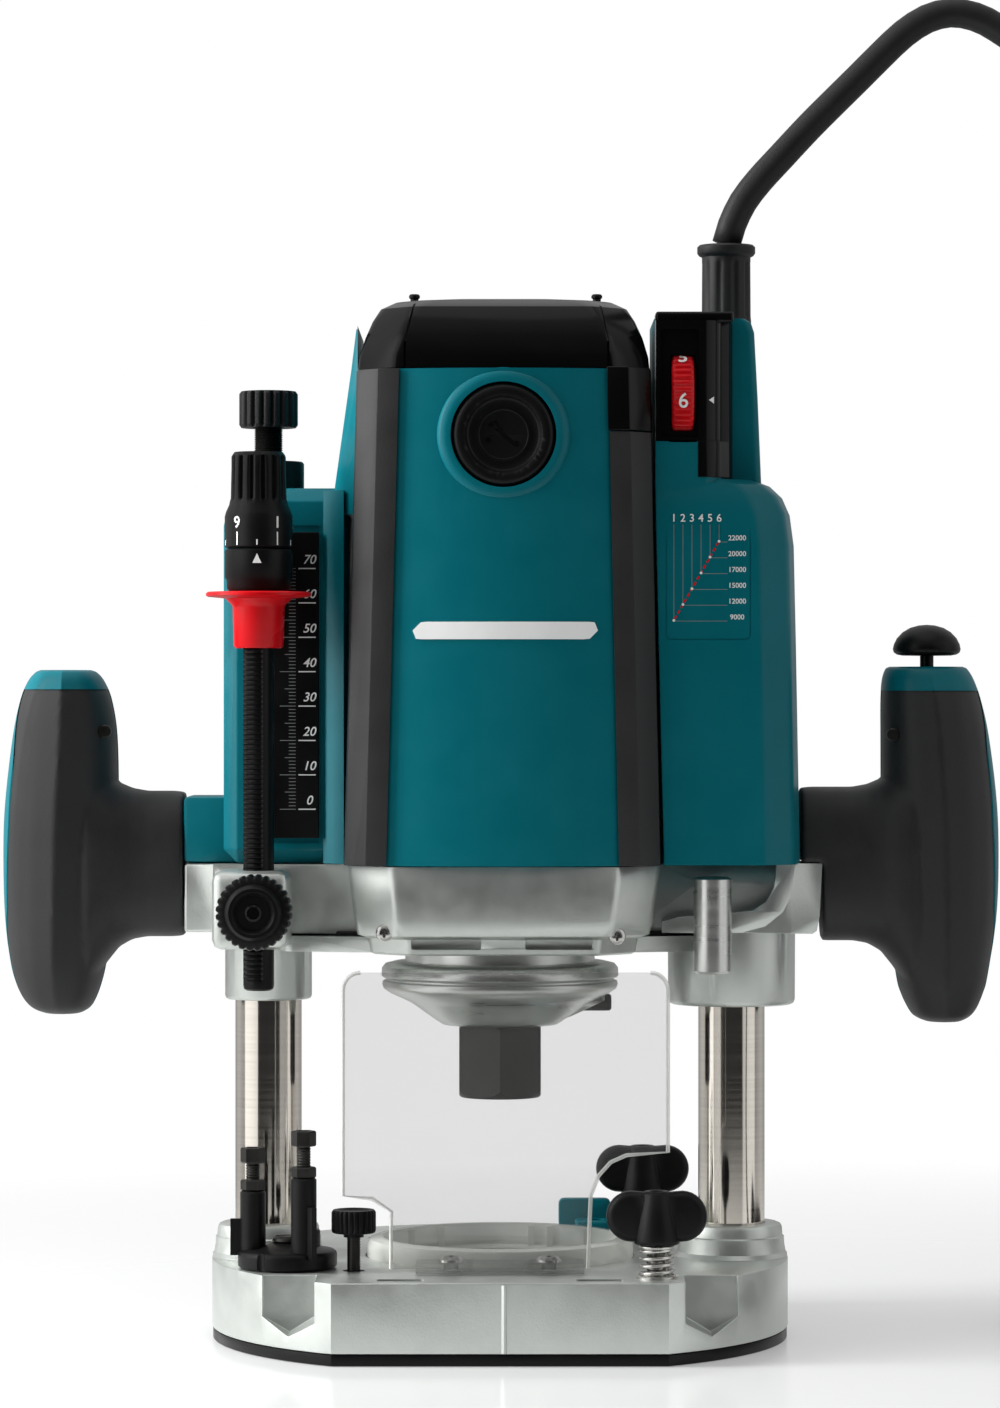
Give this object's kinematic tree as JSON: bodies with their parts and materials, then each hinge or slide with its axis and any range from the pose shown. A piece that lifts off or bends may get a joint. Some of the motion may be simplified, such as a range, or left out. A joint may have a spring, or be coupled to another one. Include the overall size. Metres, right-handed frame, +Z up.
{
  "type": "plunge router",
  "caption": "Plunge router: a motor head with two side grips slides down two columns on a round flat-fronted base with a depth stop and turret.",
  "frame": {"origin": "centre of the part's box without the cord, on the underside of the sole plate", "axes": "+Z up along the spindle and columns, +Y from the operator's front to the back, +X to the right grip"},
  "size_m": [0.4436, 0.1786, 0.3953],
  "materials": {
    "teal_plastic": "moulded, fine grain",
    "black_plastic": "moulded, satin",
    "gloss_black": "polished",
    "soft_grip": "textured overmould",
    "cast_aluminium": "cast and painted satin",
    "ground_steel": "ground and plated",
    "dark_steel": "blackened",
    "red_plastic": "moulded",
    "clear_plastic": "clear, polished",
    "copper": "wound and varnished",
    "carbon": "pressed",
    "nylon": "moulded",
    "cord_rubber": "matt sheath"
  },
  "bodies": {
    "base": {"sole_plate": "black_plastic", "base_casting": "cast_aluminium", "guide_column_left": "ground_steel", "guide_column_right": "ground_steel", "height_limit_stud": "dark_steel", "plunge_spring_left": "dark_steel", "plunge_spring_right": "dark_steel", "chip_shield": "clear_plastic", "wing_spring_front": "ground_steel", "wing_spring_rear": "ground_steel", "cord_tube": "cord_rubber", "cord_coil": "cord_rubber", "mains_plug": "black_plastic"},
    "head": {"bracket_casting": "cast_aluminium", "motor_housing": "teal_plastic", "top_cover": "gloss_black", "side_strip_left": "soft_grip", "side_strip_right": "soft_grip", "depth_tower": "teal_plastic", "depth_scale": "black_plastic", "controller_housing": "teal_plastic", "dial_bezel": "gloss_black", "controller_board": "carbon", "brush_cap_front": "black_plastic", "brush_cap_rear": "black_plastic", "carbon_brush_front": "carbon", "carbon_brush_rear": "carbon", "field_stator": "dark_steel", "lower_bearing": "ground_steel", "upper_bearing": "ground_steel", "bearing_retainer": "cast_aluminium", "accessory_post": "ground_steel", "left_grip": "soft_grip", "left_grip_shell": "teal_plastic", "right_grip": "soft_grip", "right_grip_shell": "teal_plastic", "trigger_switch": "carbon", "cord_guard": "cord_rubber"},
    "spindle": {"spindle_shaft": "ground_steel", "armature": "copper", "cooling_fan": "black_plastic", "collet_nut": "dark_steel"},
    "depth_stop": {"depth_rod": "black_plastic", "rod_head": "black_plastic"},
    "fine_adjuster": {"fine_adjust_knob": "black_plastic"},
    "pointer": {"depth_pointer": "red_plastic"},
    "clamp_knob": {"rod_clamp_knob": "black_plastic"},
    "limit_nut": {"height_limit_nut": "nylon"},
    "turret": {"stop_turret": "nylon", "stop_bolt_short": "dark_steel", "stop_bolt_tall": "dark_steel"},
    "front_wing_knob": {"wing_knob_front": "black_plastic"},
    "rear_wing_knob": {"wing_knob_rear": "black_plastic"},
    "guide_thumb_screw": {"thumb_screw": "black_plastic"},
    "guide_lever": {"guide_release_lever": "teal_plastic"},
    "dial": {"speed_dial": "red_plastic"},
    "lock_on_button": {"lock_button": "black_plastic"},
    "switch_trigger": {"trigger": "black_plastic"},
    "shaft_lock_pin": {"shaft_lock": "dark_steel"},
    "plunge_lock": {"plunge_lock_lever": "black_plastic"}
  },
  "joints": [
    {"name": "plunge", "type": "slide", "parent": "base", "child": "head", "axis": [0, 0, -1], "range_m": [0, 0.044], "stiffness_N_per_m": 700, "springref_m": -0.12, "deforming": ["plunge_spring_left", "plunge_spring_right"]},
    {"name": "spindle_spin", "type": "hinge", "parent": "head", "child": "spindle", "pos_m": [0, -0.0075, 0.1], "axis": [0, 0, 1], "continuous": true},
    {"name": "depth_stop_slide", "type": "slide", "parent": "head", "child": "depth_stop", "axis": [0, 0, 1], "range_m": [0, 0.05]},
    {"name": "fine_adjust_turn", "type": "hinge", "parent": "depth_stop", "child": "fine_adjuster", "pos_m": [-0.0696, -0.0415, 0.245], "axis": [0, 0, 1], "continuous": true},
    {"name": "pointer_slide", "type": "slide", "parent": "depth_stop", "child": "pointer", "axis": [0, 0, -1], "range_m": [0, 0.03]},
    {"name": "clamp_turn", "type": "hinge", "parent": "head", "child": "clamp_knob", "pos_m": [-0.0699, -0.0595, 0.1267], "axis": [0, -1, 0], "range_deg": [0, 120]},
    {"name": "limit_nut_turn", "type": "hinge", "parent": "base", "child": "limit_nut", "pos_m": [-0.0684, -0.0075, 0.273], "axis": [0, 0, 1], "continuous": true},
    {"name": "turret_turn", "type": "hinge", "parent": "base", "child": "turret", "pos_m": [-0.0613, -0.0405, 0.026], "axis": [0, 0, 1], "range_deg": [0, 120]},
    {"name": "front_wing_turn", "type": "hinge", "parent": "base", "child": "front_wing_knob", "pos_m": [0.0444, -0.0655, 0.04], "axis": [0, 0, 1], "continuous": true},
    {"name": "rear_wing_turn", "type": "hinge", "parent": "base", "child": "rear_wing_knob", "pos_m": [0.0439, 0.0525, 0.04], "axis": [0, 0, 1], "continuous": true},
    {"name": "thumb_screw_turn", "type": "hinge", "parent": "base", "child": "guide_thumb_screw", "pos_m": [-0.042, -0.0475, 0.037], "axis": [0, 0, 1], "continuous": true},
    {"name": "guide_lever_turn", "type": "hinge", "parent": "base", "child": "guide_lever", "pos_m": [0.029, 0.0435, 0.026], "axis": [0, 0, 1], "range_deg": [0, 25]},
    {"name": "dial_turn", "type": "hinge", "parent": "head", "child": "dial", "pos_m": [0.0527, -0.0335, 0.2756], "axis": [1, 0, 0], "range_deg": [0, 280]},
    {"name": "lock_button_press", "type": "slide", "parent": "head", "child": "lock_on_button", "axis": [0, 0, -1], "range_m": [0, 0.003], "stiffness_N_per_m": 400, "springref_m": -0.002},
    {"name": "trigger_press", "type": "slide", "parent": "head", "child": "switch_trigger", "axis": [0, -1, 0], "range_m": [0, 0.0045], "stiffness_N_per_m": 500, "springref_m": -0.003},
    {"name": "shaft_lock_press", "type": "slide", "parent": "head", "child": "shaft_lock_pin", "axis": [-1, 0, 0], "range_m": [0, 0.003], "stiffness_N_per_m": 500, "springref_m": -0.002},
    {"name": "plunge_lock_turn", "type": "hinge", "parent": "head", "child": "plunge_lock", "pos_m": [-0.03, 0.0425, 0.127], "axis": [0, 1, 0], "range_deg": [-35, 0]}
  ]
}
